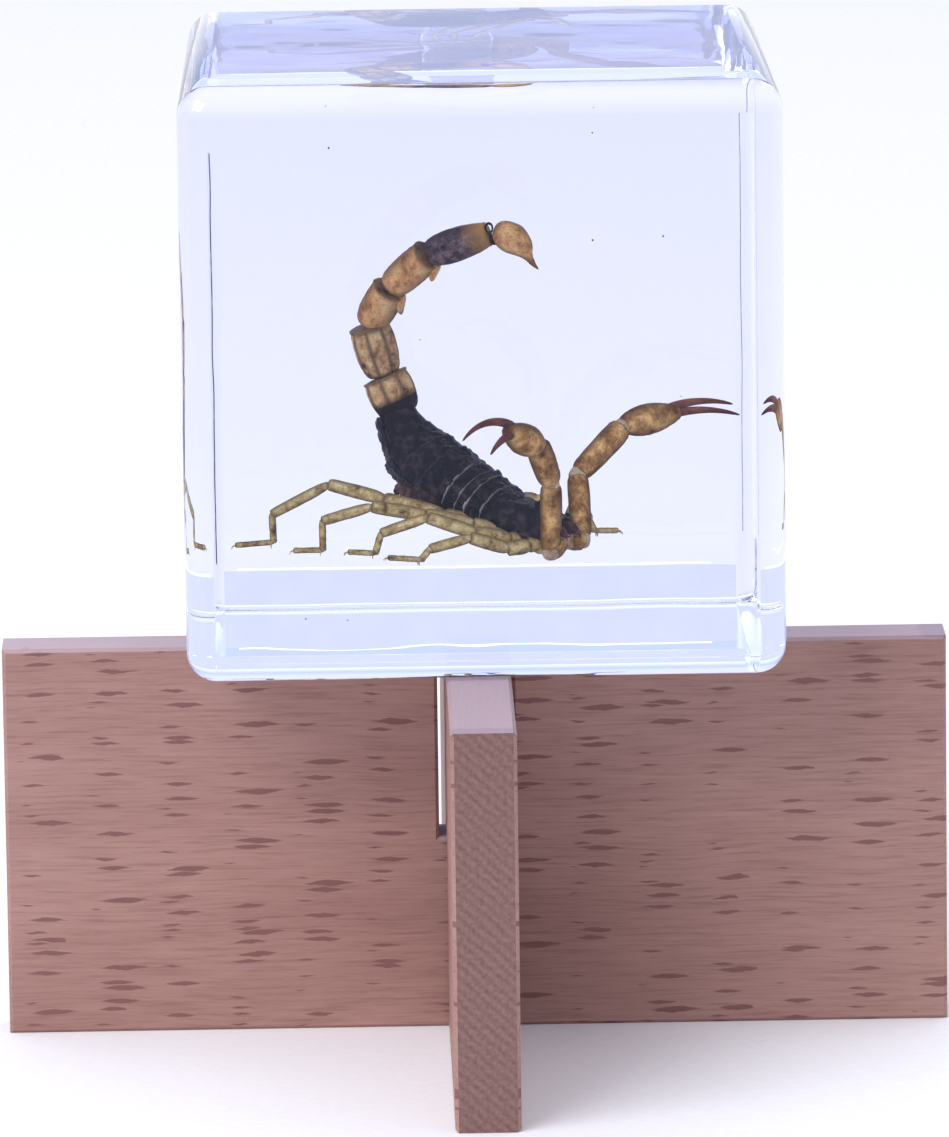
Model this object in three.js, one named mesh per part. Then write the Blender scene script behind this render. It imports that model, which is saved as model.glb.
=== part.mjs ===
// A scorpion cast in a clear resin cube, standing on a display cross of two beech boards.
// The scorpion is sealed in the resin, so what can be taken apart on a bench is three pieces:
// the cube lifts off the boards, and the boards slide out of each other's slots.
//
// Millimetres, +Z up. The origin is on the surface the boards stand on, at the middle of the
// cross. +X runs to the right along the board that lies across the view, +Y to the back along
// the other board, and the cube's display face looks towards -Y.

import * as THREE from 'three';
import { RoundedBoxGeometry } from 'three/addons/geometries/RoundedBoxGeometry.js';

// The resin cube.
const CUBE_SIZE = 60;
const CUBE_EDGE_RADIUS = 3;
const CUBE_EDGE_STEPS = 5;
const CUBE_DRAFT = 0.5; // each side face leans in by this much from the display face to the back

// Where the cube was set down on the cross: its middle, from the middle of the cross.
const CUBE_OFFSET_X = 1.0;
const CUBE_OFFSET_Y = 6.4;

// The two boards are cut alike. Each has a slot half its height deep, a loose fit on the other.
const BOARD_LENGTH = 96;
const BOARD_HEIGHT = 40;
const BOARD_THICKNESS = 6.5;
const BOARD_EASED_EDGE = 0.35;
const SLOT_WIDTH = 7.6;
const SLOT_FLOOR_GAP = 0.3; // left between the two slot floors where the boards cross
const BOARD_SLACK_X = 0.2; // how far off the slot's middle the board along the view has settled

const resin = new THREE.MeshStandardMaterial({
  color: '#e6ecff',
  roughness: 0.04,
  metalness: 0,
  transparent: true,
  opacity: 0.3,
});
const beech = new THREE.MeshStandardMaterial({ color: '#a5807a', roughness: 0.62, metalness: 0 });

// A rounded cube whose width shrinks evenly from its display face (-Y) to its back (+Y).
function cubeGeometry() {
  const geometry = new RoundedBoxGeometry(
    CUBE_SIZE,
    CUBE_SIZE,
    CUBE_SIZE,
    CUBE_EDGE_STEPS,
    CUBE_EDGE_RADIUS,
  );
  const points = geometry.getAttribute('position');
  for (let i = 0; i < points.count; i++) {
    const depth = points.getY(i) / CUBE_SIZE + 0.5;
    const narrowing = 1 - (2 * CUBE_DRAFT * depth) / CUBE_SIZE;
    points.setX(i, points.getX(i) * narrowing);
  }
  return geometry;
}

// A board's side view, centred on its own middle, with its slot open at the top.
function boardOutline() {
  const end = BOARD_LENGTH / 2;
  const edge = BOARD_HEIGHT / 2;
  const slotSide = SLOT_WIDTH / 2;
  const slotFloor = -SLOT_FLOOR_GAP / 2;
  return new THREE.Shape([
    new THREE.Vector2(-end, -edge),
    new THREE.Vector2(end, -edge),
    new THREE.Vector2(end, edge),
    new THREE.Vector2(slotSide, edge),
    new THREE.Vector2(slotSide, slotFloor),
    new THREE.Vector2(-slotSide, slotFloor),
    new THREE.Vector2(-slotSide, edge),
    new THREE.Vector2(-end, edge),
  ]);
}

// The board cut from that outline, its arrises eased, lying with its slot towards +Y.
function boardGeometry() {
  const geometry = new THREE.ExtrudeGeometry(boardOutline(), {
    depth: BOARD_THICKNESS - 2 * BOARD_EASED_EDGE,
    bevelEnabled: true,
    bevelThickness: BOARD_EASED_EDGE,
    bevelSize: BOARD_EASED_EDGE,
    bevelOffset: -BOARD_EASED_EDGE,
    bevelSegments: 1,
  });
  return geometry.translate(0, 0, BOARD_EASED_EDGE - BOARD_THICKNESS / 2);
}

function piece(name, geometry, material) {
  const mesh = new THREE.Mesh(geometry, material);
  mesh.name = name;
  return mesh;
}

const boardAcross = piece('board_across', boardGeometry().rotateX(Math.PI / 2), beech);
boardAcross.position.set(0, 0, BOARD_HEIGHT / 2);

const boardAlong = piece(
  'board_along',
  boardGeometry().rotateX(-Math.PI / 2).rotateZ(Math.PI / 2),
  beech,
);
boardAlong.position.set(BOARD_SLACK_X, 0, BOARD_HEIGHT / 2);

const resinBlock = piece('resin_block', cubeGeometry(), resin);
resinBlock.position.set(CUBE_OFFSET_X, CUBE_OFFSET_Y, BOARD_HEIGHT + CUBE_SIZE / 2);

const model = new THREE.Group();
model.add(boardAcross, boardAlong, resinBlock);

export default model;
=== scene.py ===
# %% [markdown]
# # A scorpion in a clear resin cube
#
# The object is a cast cube of clear resin with one dried scorpion sealed in it. The cube rests on
# a cross of two slotted beech boards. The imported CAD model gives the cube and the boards, and this
# script gives them their surfaces and models the scorpion inside the cube.
#
# Blender works in metres, and everything here is sized in millimetres, so each length is written
# as a number times MM.

import math

import bpy
from mathutils import Matrix, Vector


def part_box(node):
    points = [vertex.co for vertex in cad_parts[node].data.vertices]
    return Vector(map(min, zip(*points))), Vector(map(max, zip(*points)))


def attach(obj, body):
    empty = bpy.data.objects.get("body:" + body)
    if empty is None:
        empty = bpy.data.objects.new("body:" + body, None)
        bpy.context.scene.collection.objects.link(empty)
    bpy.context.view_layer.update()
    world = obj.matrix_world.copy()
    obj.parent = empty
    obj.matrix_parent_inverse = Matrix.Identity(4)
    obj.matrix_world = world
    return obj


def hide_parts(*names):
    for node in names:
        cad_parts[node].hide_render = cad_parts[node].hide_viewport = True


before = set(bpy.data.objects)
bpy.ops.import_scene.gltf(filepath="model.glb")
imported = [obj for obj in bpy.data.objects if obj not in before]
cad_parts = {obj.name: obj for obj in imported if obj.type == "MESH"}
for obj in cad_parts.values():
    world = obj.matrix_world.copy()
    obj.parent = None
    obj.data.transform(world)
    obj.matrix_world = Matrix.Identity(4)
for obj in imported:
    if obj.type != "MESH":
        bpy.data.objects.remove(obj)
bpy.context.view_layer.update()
MM = 0.001
UP = Vector((0, 0, 1))
print("CAD nodes:", sorted(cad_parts))

# %% [markdown]
# ## The camera
#
# The view is a long-lens close-up from about a metre away, looking down by eleven degrees. A
# camera is placed by its position and three turns: to the side, down, and a small roll. The lens
# is given as a focal length in pixels of the final picture, which Blender wants in millimetres of
# sensor, where the sensor's width goes with the picture's longer side.

# %% The camera
PICTURE_HEIGHT = 1137
FOCAL_PIXELS = 9912.4
SENSOR_WIDTH = 36.0
CAMERA_PLACE = Vector((-13.35, -990.79, 238.62)) * MM
CAMERA_YAW = 0.01366
CAMERA_PITCH = 0.19096
CAMERA_ROLL = -0.01306

aim = Matrix.Rotation(-CAMERA_YAW, 4, "Z") @ Matrix.Rotation(math.pi / 2 - CAMERA_PITCH, 4, "X")
camera_data = bpy.data.cameras.new("camera")
camera_data.lens = FOCAL_PIXELS * SENSOR_WIDTH / PICTURE_HEIGHT
camera_data.sensor_width = SENSOR_WIDTH
camera = bpy.data.objects.new("camera", camera_data)
camera.matrix_world = (
    Matrix.Translation(CAMERA_PLACE) @ aim @ Matrix.Rotation(CAMERA_ROLL, 4, "Z")
)
bpy.context.scene.collection.objects.link(camera)
bpy.context.scene.camera = camera
print("lens", round(camera_data.lens, 1), "mm")

# %% [markdown]
# ## Helpers for materials
#
# Colours are chosen as sRGB hex values, as a paint program shows them, while a shader works with
# linear light, so one function turns one into the other. A second function gives a node's sockets
# their values or links, and a third adds a shader node. Every material is written with these.

# %% Colour and shader nodes
MIX_A, MIX_B = 6, 7  # the colour sockets of a Mix node
MIX_RESULT = 2


def linear(hex_colour):
    """An sRGB colour such as "#c08040" as linear red, green, blue and alpha."""
    channels = [int(hex_colour[i:i + 2], 16) / 255 for i in (1, 3, 5)]
    light = [c / 12.92 if c <= 0.04045 else ((c + 0.055) / 1.055) ** 2.4 for c in channels]
    return (*light, 1.0)


def fill(node, sockets):
    """Gives a node's sockets their values, and links those that are given an output."""
    for name, value in sockets.items():
        if isinstance(value, bpy.types.NodeSocket):
            node.id_data.links.new(value, node.inputs[name])
        else:
            node.inputs[name].default_value = value


def add(tree, kind, settings, output=None):
    """Adds a shader node from its options and sockets. Returns the named output or the node."""
    made = tree.nodes.new("ShaderNode" + kind)
    options = [name for name in settings if isinstance(name, str) and hasattr(made, name)]
    for name in options:
        setattr(made, name, settings[name])
    fill(made, {name: value for name, value in settings.items() if name not in options})
    return made if output is None else made.outputs[output]


def ramp(tree, source, stops):
    """A colour ramp over a value, from (position, hex colour) pairs."""
    made = add(tree, "ValToRGB", {"Fac": source})
    elements = made.color_ramp.elements
    while len(elements) < len(stops):
        elements.new(0.5)
    for element, (position, colour) in zip(elements, stops):
        element.position = position
        element.color = linear(colour)
    return made.outputs["Color"]


def new_material(name):
    """An empty node material, its tree, and its Principled shader."""
    material = bpy.data.materials.new(name)
    material.use_nodes = True
    return material, material.node_tree, material.node_tree.nodes["Principled BSDF"]


# %% [markdown]
# ## Helpers for modelling
#
# Operators work on whatever is selected, so each step first clears the selection, then selects by
# place, and only then extrudes, insets or bevels. Turning in edit mode needs its pivot given,
# because there is no 3D cursor to look at.

# %% Selecting and applying
def only(*objects):
    """Selects just these objects and makes the first one active."""
    bpy.ops.object.select_all(action="DESELECT")
    for item in objects:
        item.select_set(True)
    bpy.context.view_layer.objects.active = objects[0]


def begin(name, primitive, scale=(1, 1, 1), **settings):
    """Adds a primitive with nothing else selected, names it, and applies its place and scale."""
    bpy.ops.object.select_all(action="DESELECT")
    primitive(**settings)
    item = bpy.context.object
    item.name = name
    item.scale = scale
    bpy.ops.object.transform_apply(location=True, rotation=True, scale=True)
    return item


def pick(item, kind, test):
    """In edit mode, selects the vertices (VERT) or the faces (FACE) that pass a test."""
    bpy.ops.mesh.select_mode(type=kind)
    bpy.ops.mesh.select_all(action="DESELECT")
    bpy.ops.object.mode_set(mode="OBJECT")
    for element in item.data.vertices if kind == "VERT" else item.data.polygons:
        element.select = test(element)
    bpy.ops.object.mode_set(mode="EDIT")


def modifier(item, kind, **settings):
    """Adds a modifier and applies it at once."""
    only(item)
    made = item.modifiers.new(kind.lower(), kind)
    for name, value in settings.items():
        setattr(made, name, value)
    bpy.ops.object.modifier_apply(modifier=made.name)


def finish(item, material, smooth=35):
    """Smooths a piece by angle, gives it its material, and lets it ride on the frame."""
    only(item)
    bpy.ops.object.transform_apply(location=True, rotation=True, scale=True)
    bpy.ops.object.shade_smooth_by_angle(angle=math.radians(smooth))
    item.data.materials.clear()
    item.data.materials.append(material)
    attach(item, "root")
    return item


# %% [markdown]
# ## The resin
#
# Water-clear polyester casting resin, poured in layers in a mould, ground flat and polished. It
# refracts like window glass (IOR 1.5) and takes a faint cool tint through its thickness, which
# is given as volume absorption, so thick places are bluer than thin ones. Polishing leaves very
# slight waves in the faces: a bump with a 9 mm wavelength, too weak to see except where the
# surface is seen at a low angle.

# %% The resin material
resin, tree, shader = new_material("clear_casting_resin_polished")
place = add(tree, "TexCoord", {}, "Object")
waves = add(
    tree, "TexNoise", {"Scale": 110.0, "Detail": 1.0, "Roughness": 0.4, "Vector": place}, "Fac"
)
bump = add(tree, "Bump", {"Strength": 0.1, "Distance": 0.4 * MM, "Height": waves}, "Normal")
fill(shader, {
    "Base Color": linear("#ffffff"), "Roughness": 0.0, "IOR": 1.5, "Transmission Weight": 1.0,
    "Normal": bump,
})
tint = add(tree, "VolumeAbsorption", {"Color": linear("#d6dbff"), "Density": 7.5}, "Volume")
tree.links.new(tint, tree.nodes["Material Output"].inputs["Volume"])

# %% [markdown]
# ## The cube
#
# The cube is 60 mm on each side and leans in a little towards its back, as the mould did. It is
# one box: the back face is scaled and every edge is rounded by a bevel, 3 mm all round but only
# 0.7 mm at the lower back edge, which stood on the mould's floor. The six flat faces get a narrow
# margin, so that smooth shading bends only the margin and the faces stay optically flat. The cube
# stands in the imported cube's box, lifted by a hair so that light passes through a thin layer of
# air between the resin and the wood.

# %% The cube
CUBE_DRAFT = 0.5 * MM
CUBE_RADIUS = 3.0 * MM
FLOOR_EDGE_RADIUS = 0.7 * MM
AIR_GAP = 0.05 * MM
FACING = 0.9  # a face looks along an axis if its normal has at least this much of it
FLAT_FACE_AREA = 1000 * MM ** 2  # only the six flat faces are larger than this
FLAT_MARGIN = 0.06 * MM

low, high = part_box("resin_block")
cube_size = high - low
cube_middle = (low + high) / 2
cube = begin(
    "resin_cube", bpy.ops.mesh.primitive_cube_add, cube_size, size=1, location=cube_middle
)
bpy.ops.object.mode_set(mode="EDIT")
pick(cube, "FACE", lambda face: face.normal.y > FACING)
bpy.ops.transform.resize(
    value=(1 - 2 * CUBE_DRAFT / cube_size.x, 1, 1), center_override=cube_middle
)
pick(cube, "FACE", lambda face: face.normal.z < -FACING)
bpy.ops.transform.translate(value=(0, 0, AIR_GAP))
bpy.ops.object.mode_set(mode="OBJECT")
roundness = cube.data.attributes.new("bevel_weight_edge", "FLOAT", "EDGE")
for index, edge in enumerate(cube.data.edges):
    ends = [cube.data.vertices[vertex].co for vertex in edge.vertices]
    at_back = all(end.y > cube_middle.y for end in ends)
    at_floor = all(end.z < cube_middle.z for end in ends)
    roundness.data[index].value = FLOOR_EDGE_RADIUS / CUBE_RADIUS if at_back and at_floor else 1.0
modifier(cube, "BEVEL", width=CUBE_RADIUS, segments=10, limit_method="WEIGHT")
only(cube)
bpy.ops.object.mode_set(mode="EDIT")
pick(cube, "FACE", lambda face: face.area > FLAT_FACE_AREA)
bpy.ops.mesh.inset(thickness=FLAT_MARGIN, use_individual=True)
bpy.ops.object.mode_set(mode="OBJECT")
finish(cube, resin, smooth=60)
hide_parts("resin_block")
print("cube faces:", len(cube.data.polygons))

# %% [markdown]
# Where the ground back face meets the rounded edges, fine lines frame the back, seen through the
# cube: a dark line on the left, a faint one on the right and a white one along the bottom. Each is
# painted by a thin closed bar just inside the back face. The side ones are painted shade, and the
# bottom one is a painted highlight that glows.

# %% Painted lines along the back face
PAINTED_EDGE_LINES = {  # width, height, and place of the middle from the cube's foot, in mm, tone and glow
    "painted_shade_line_left": (0.12, 43.0, -27.25, 26.3, "#6a6c88", 0.0),
    "painted_shade_line_right": (0.07, 49.0, 27.2, 32.0, "#8f98c4", 0.0),
    "painted_glow_line_bottom": (49.0, 0.16, -0.6, 4.25, "#ffffff", 0.9),
}
EDGE_LINE_DEPTH = 0.12
EDGE_LINE_INSET = 0.2  # from the back face to the bar's middle, in mm
BAR_BEVEL = 0.03 * MM


def back_bar(name, material, size, side, rise, inset):
    """A thin closed bar inside the cube's back face. Its size, its middle's place from the middle
    of the cube's foot, and its distance from the back face are in mm."""
    bar = begin(
        name, bpy.ops.mesh.primitive_cube_add, [length * MM for length in size], size=1,
        location=(cube_middle.x + side * MM, high.y - inset * MM, low.z + rise * MM),
    )
    modifier(bar, "BEVEL", width=BAR_BEVEL, segments=2)
    finish(bar, material)


for name, (width, height, side, rise, tone, painted_glow) in PAINTED_EDGE_LINES.items():
    edge_line_paint, tree, shader = new_material("painted_edge_line_" + name)
    place = add(tree, "TexCoord", {}, "Object")
    line_noise = add(tree, "TexNoise", {"Scale": 700.0, "Detail": 3.0, "Vector": place}, "Fac")
    bump = add(tree, "Bump", {"Strength": 0.3, "Distance": 0.05 * MM, "Height": line_noise}, "Normal")
    # Painted light: the dark tones of the side bars are painted shade, and the bottom bar's emission
    # is a painted glow, though it is no lamp.
    fill(shader, {
        "Base Color": ramp(tree, line_noise, [(0.5, tone), (0.9, "#ffffff")]), "Roughness": 0.8,
        "Emission Color": linear(tone), "Emission Strength": painted_glow, "Normal": bump,
    })
    back_bar(name, edge_line_paint, (width, EDGE_LINE_DEPTH, height), side, rise, EDGE_LINE_INSET)
print("creases:", len(PAINTED_EDGE_LINES))

# %% [markdown]
# Below the lower line the back was ground but never polished, and this matt strip lets light through
# without a picture. It is a thin closed bar inside the back face. Daylight that it would scatter
# forward finds its way through the resin too seldom, so the bar gives off that light itself, as
# painted light. The cube's floor mirrors it, which makes the whole foot of the cube evenly pale.

# %% The matt strip, which glows with painted light
STRIP_SIZE = (53.0, 0.1, 3.5)
STRIP_RISE = 2.35  # its middle above the cube's floor, in mm
STRIP_INSET = 0.5
glowing_matt, tree, shader = new_material("resin_ground_matt_painted_glow")
place = add(tree, "TexCoord", {}, "Object")
frost_and_glow = add(tree, "TexNoise", {"Scale": 260.0, "Detail": 4.0, "Vector": place}, "Fac")
bump = add(tree, "Bump", {"Strength": 0.3, "Distance": 0.05 * MM, "Height": frost_and_glow}, "Normal")
# Painted light: the emission makes the strip glow, though it is no lamp.
fill(shader, {
    "Base Color": linear("#20242e"), "Roughness": 0.9, "Normal": bump,
    "Emission Color": ramp(tree, frost_and_glow, [(0.3, "#e6edff"), (0.7, "#ebf1ff")]),
    "Emission Strength": 1.0,
})
back_bar("matt_strip_painted_glow", glowing_matt, STRIP_SIZE, 0.0, STRIP_RISE, STRIP_INSET)
print("matt strip made")

# %% [markdown]
# ## The beech boards
#
# Steamed beech is a pale pinkish-brown wood with a fine straight grain. On the wide faces its
# rays show as short, dark, pointed flecks, 2 to 5 mm long and half a millimetre high, all lying
# along the grain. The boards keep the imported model's shape and only take a material. A Voronoi
# pattern with a Minkowski distance gives cells between diamond and ellipse, which are the flecks
# once they are stretched along the grain and frayed. The sawn ends show no flecks: they are
# darker, with pores and the fine slanting marks of the saw.

# %% The beech material
SIDE_TONES = ("#a98176", "#b48c80", "#bc968a")
FLECK_TONE = "#855b54"
END_TONES = ("#7d5a52", "#8f6d66")
TOP_PAINTED_LIGHT_TONE = "#d6cbdc"  # the upper edges, painted pale and lilac as light from above
GRAIN_WANDER = (0.0, 0.0, 1.2 * MM)
FLECK_FRAY = (1.2 * MM, 0.0, 0.4 * MM)
FLECK_CELL = (7.0, 0.92)  # room for one fleck along and across the grain, in mm
FLECK_CHANCE = 0.5  # share of that room that has a fleck
FLECK_SHAPE = 1.3  # 1 makes a diamond and 2 an ellipse
GRAIN_SIZE = (7.0, 0.3)  # the fine grain lines, in mm
POROUS_SIZE = 0.4  # spacing of the pores on the sawn ends, in mm
SAW_PITCH = 0.9  # spacing of the saw marks, in mm
SAW_SLANT = math.radians(42)
SAW_SCALE = math.pi / 10 * 1000 / SAW_PITCH  # a wave texture repeats 10 / pi times a unit


def beech(name, turn):
    """Planed beech with its grain along X, turned about Z by an angle."""
    material, tree, shader = new_material(name)
    coordinates = add(tree, "TexCoord", {})
    turned, normal = [
        add(tree, "Mapping", {"Rotation": (0, 0, turn), "Vector": coordinates.outputs[kind]},
            "Vector")
        for kind in ("Object", "Normal")
    ]
    wander = add(tree, "TexNoise", {"Scale": 55.0, "Detail": 2.0, "Vector": turned}, "Color")
    bent = add(
        tree, "VectorMath",
        {"operation": "MULTIPLY_ADD", 0: wander, 1: GRAIN_WANDER, 2: turned}, "Vector",
    )
    frays = add(tree, "TexNoise", {"Scale": 700.0, "Detail": 3.0, "Vector": turned}, "Color")
    frayed = add(
        tree, "VectorMath", {"operation": "MULTIPLY_ADD", 0: frays, 1: FLECK_FRAY, 2: bent},
        "Vector",
    )
    fleck_space = add(
        tree, "Mapping",
        {"Scale": (1000 / FLECK_CELL[0], 1, 1000 / FLECK_CELL[1]),
         "Rotation": (-math.pi / 2, 0, 0), "Vector": frayed}, "Vector",
    )
    cells = add(
        tree, "TexVoronoi",
        {"distance": "MINKOWSKI", "voronoi_dimensions": "2D", "Exponent": FLECK_SHAPE,
         "Scale": 1.0, "Randomness": 0.95, "Vector": fleck_space},
    )
    chance = add(tree, "SeparateColor", {"Color": cells.outputs["Color"]}, "Red")
    reach = add(
        tree, "MapRange",
        {"From Min": 1 - FLECK_CHANCE, "From Max": 1.0, "To Min": 0.08, "To Max": 0.38,
         "Value": chance}, "Result",
    )
    wanted = add(
        tree, "Math", {"operation": "GREATER_THAN", 0: chance, 1: 1 - FLECK_CHANCE}, "Value"
    )
    inside = add(
        tree, "Math", {"operation": "SUBTRACT", 0: reach, 1: cells.outputs["Distance"]}, "Value"
    )
    shaped = add(tree, "MapRange", {"From Min": -0.02, "From Max": 0.07, "Value": inside}, "Result")
    facing = add(tree, "SeparateXYZ", {"Vector": normal})
    end_share = add(tree, "Math", {"operation": "ABSOLUTE", 0: facing.outputs["X"]}, "Value")
    end_grain = add(
        tree, "MapRange", {"From Min": 0.75, "From Max": 0.9, "Value": end_share}, "Result"
    )
    on_side = add(tree, "Math", {"operation": "SUBTRACT", 0: 1.0, 1: end_grain}, "Value")
    fleck = add(tree, "Math", {"operation": "MULTIPLY", 0: shaped, 1: wanted}, "Value")
    fleck = add(tree, "Math", {"operation": "MULTIPLY", 0: fleck, 1: on_side}, "Value")

    grain_space = add(
        tree, "Mapping",
        {"Scale": (1000 / GRAIN_SIZE[0], 1000 / GRAIN_SIZE[1], 1000 / GRAIN_SIZE[1]),
         "Vector": bent}, "Vector",
    )
    grain = add(
        tree, "TexNoise",
        {"Scale": 1.0, "Detail": 4.0, "Roughness": 0.7, "Vector": grain_space}, "Fac",
    )
    broad_space = add(tree, "Mapping", {"Scale": (14.0, 90.0, 110.0), "Vector": bent}, "Vector")
    broad = add(
        tree, "TexNoise",
        {"Scale": 1.0, "Detail": 3.0, "Roughness": 0.55, "Vector": broad_space}, "Fac",
    )
    side_tone = add(
        tree, "Mix",
        {"data_type": "RGBA", "blend_type": "MULTIPLY", 0: 0.7,
         MIX_A: ramp(tree, broad, list(zip((0.3, 0.55, 0.75), SIDE_TONES))),
         MIX_B: ramp(tree, grain, [(0.3, "#c9b8b4"), (0.5, "#f2ecea"), (0.7, "#ffffff")])},
        MIX_RESULT,
    )
    flecked = add(
        tree, "Mix", {"data_type": "RGBA", 0: fleck, MIX_A: side_tone, MIX_B: linear(FLECK_TONE)},
        MIX_RESULT,
    )

    slanted = add(tree, "Mapping", {"Rotation": (SAW_SLANT, 0, 0), "Vector": turned}, "Vector")
    saw = add(
        tree, "TexWave",
        {"bands_direction": "Z", "Scale": SAW_SCALE, "Distortion": 2.5, "Detail": 3.0,
         "Detail Scale": 0.6, "Vector": slanted}, "Fac",
    )
    pores = add(
        tree, "TexNoise", {"Scale": 1000 / POROUS_SIZE, "Detail": 3.0, "Vector": turned}, "Fac"
    )
    end_tone = add(
        tree, "Mix",
        {"data_type": "RGBA", "blend_type": "MULTIPLY", 0: 1.0,
         MIX_A: ramp(tree, pores, list(zip((0.3, 0.6), END_TONES))),
         MIX_B: ramp(tree, saw, [(0.1, "#eee8e6"), (0.8, "#ffffff")])}, MIX_RESULT,
    )
    coloured = add(
        tree, "Mix", {"data_type": "RGBA", 0: end_grain, MIX_A: flecked, MIX_B: end_tone},
        MIX_RESULT,
    )
    # Faces that look up turn pale and lilac: this is painted light, the glow of the sky above.
    painted_top_light = add(
        tree, "MapRange",
        {"From Min": 0.5, "From Max": 0.8, "To Max": 0.45, "Value": facing.outputs["Z"]},
        "Result",
    )
    coloured = add(
        tree, "Mix",
        {"data_type": "RGBA", 0: painted_top_light, MIX_A: coloured, MIX_B: linear(TOP_PAINTED_LIGHT_TONE)}, MIX_RESULT,
    )
    rough = add(tree, "MapRange", {"To Min": 0.52, "To Max": 0.68, "Value": grain}, "Result")
    side_height = add(tree, "Math", {"operation": "SUBTRACT", 0: grain, 1: fleck}, "Value")
    sawn_height = add(tree, "Math", {"operation": "MULTIPLY", 0: saw, 1: end_grain}, "Value")
    height = add(tree, "Math", {"operation": "ADD", 0: side_height, 1: sawn_height}, "Value")
    bump = add(tree, "Bump", {"Strength": 0.25, "Distance": 0.06 * MM, "Height": height}, "Normal")
    fill(shader, {"Base Color": coloured, "Roughness": rough, "IOR": 1.5, "Normal": bump})
    return material


for board, turn in (("board_across", 0.0), ("board_along", math.pi / 2)):
    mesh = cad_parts[board].data
    mesh.materials.clear()
    mesh.materials.append(beech("beech_planed_" + board, turn))
print("boards finished in beech")

# %% [markdown]
# ## Growing a shape
#
# A scorpion's shell is a chain of closed tubes, each a little keeled and narrower at its ends. A
# person would start such a tube from one ring, extrude it, scale the new ring, and turn it where
# the tube bends. The next helper does just that from a short list of steps. The pieces are
# modelled upright at one unit to the millimetre, with their back towards +Y, and are then stood
# in their place in the cube.

# %% Growing, ridges and placing
CUBE_FOOT = Vector((cube_middle.x, cube_middle.y, low.z))


def grow(name, sides, first, steps, pinch=1.0):
    """A closed tube grown from a ring at the origin. Each step is (length, width, depth, turn)."""
    item = begin(
        name, bpy.ops.mesh.primitive_circle_add, vertices=sides, radius=0.5, fill_type="NGON"
    )
    bpy.ops.object.mode_set(mode="EDIT")
    if pinch < 1:
        pick(item, "VERT", lambda vertex: vertex.index % 2 == 1)
        bpy.ops.transform.resize(value=(pinch, pinch, 1), center_override=(0, 0, 0))
    bpy.ops.mesh.select_mode(type="FACE")
    bpy.ops.mesh.select_all(action="SELECT")
    width, depth = first
    bpy.ops.transform.resize(value=(width, depth, 1), center_override=(0, 0, 0))
    centre = Vector((0, 0, 0))
    heading = 0.0
    for length, next_width, next_depth, turn in steps:
        if turn:
            bpy.ops.transform.rotate(
                value=math.radians(turn), orient_axis="X", center_override=centre
            )
            heading += math.radians(turn)
        step = Vector((0, math.sin(heading), math.cos(heading))) * length
        centre = centre + step
        bpy.ops.mesh.extrude_region_move(TRANSFORM_OT_translate={"value": step})
        scale = (next_width / width, next_depth / depth, next_depth / depth)
        bpy.ops.transform.resize(value=scale, center_override=centre)
        width, depth = next_width, next_depth
    bpy.ops.mesh.select_all(action="SELECT")
    bpy.ops.mesh.normals_make_consistent(inside=False)
    bpy.ops.object.mode_set(mode="OBJECT")
    return item


def bounds_of(item):
    """Lowest and highest corner of a mesh in its own coordinates."""
    corners = [[vertex.co[axis] for vertex in item.data.vertices] for axis in range(3)]
    return Vector(map(min, corners)), Vector(map(max, corners))


def mark_ridges(item, keels=0, rim=0.0, sharpness=1.0, spread=0.0):
    """Writes two attributes: ridge_and_painted_light, 1 along the keels and end rims, and along, 0
    to 1. The first keel lies on the back, and a larger spread makes the keels' dark zones wider,
    which along an outline is painted shade."""
    bottom, top = bounds_of(item)
    size = top - bottom
    middle = (bottom + top) / 2
    ridge_and_painted_light = item.data.attributes.new("ridge_and_painted_light", "FLOAT", "POINT")
    along = item.data.attributes.new("along", "FLOAT", "POINT")
    for index, vertex in enumerate(item.data.vertices):
        x = (vertex.co.x - middle.x) / size.x
        y = (vertex.co.y - middle.y) / size.y
        share = (vertex.co.z - bottom.z) / size.z
        from_back = math.atan2(y, x) - math.pi / 2
        wave = (math.cos(keels * from_back) + spread) / (1 + spread)
        keel = max(0.0, wave) ** sharpness if keels else 0.0
        near_end = min(share, 1 - share) * size.z
        rim_share = math.exp(-((near_end / rim) ** 2)) if rim else 0.0
        ridge_and_painted_light.data[index].value = max(keel, rim_share)
        along.data[index].value = share


def soften(item, levels=2, **marks):
    """Subdivides a grown shape and marks its ridges."""
    modifier(item, "SUBSURF", levels=levels)
    mark_ridges(item, **marks)
    return item


def stand(item, foot, along, up, scale=(1, 1, 1)):
    """Sets a piece with its foot at a place in the cube, its length along, and its back up."""
    forward = Vector(along).normalized()
    up = Vector(up)
    back = (up - forward * forward.dot(up)).normalized()
    turn = Matrix((back.cross(forward), back, forward)).transposed().to_4x4()
    size = Matrix.Diagonal((*[s * MM for s in scale], 1))
    item.matrix_world = Matrix.Translation(CUBE_FOOT + Vector(foot) * MM) @ turn @ size
    only(item)
    bpy.ops.object.transform_apply(location=True, rotation=True, scale=True)
    return item


def twin(item, name):
    """A copy with a mesh of its own."""
    made = item.copy()
    made.data = item.data.copy()
    made.name = name
    bpy.context.scene.collection.objects.link(made)
    return made


TOWARDS_VIEWER = Vector((0, -1, 0))


def between(pattern, name, start, end, width, depth, up=None):
    """A copy of a section that is one unit long, stretched between two joints. Without an up its
    back and belly lie on the outline that is seen from the front, so that their dark keels paint
    shade along it."""
    span = Vector(end) - Vector(start)
    up = up or TOWARDS_VIEWER.cross(span)
    return stand(twin(pattern, name), start, span, up, (width, depth, span.length))


def weld(name, *parts):
    """Joins several meshes into one object."""
    only(*parts)
    bpy.ops.object.join()
    parts[0].name = name
    parts[0].data.name = name
    return parts[0]


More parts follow.
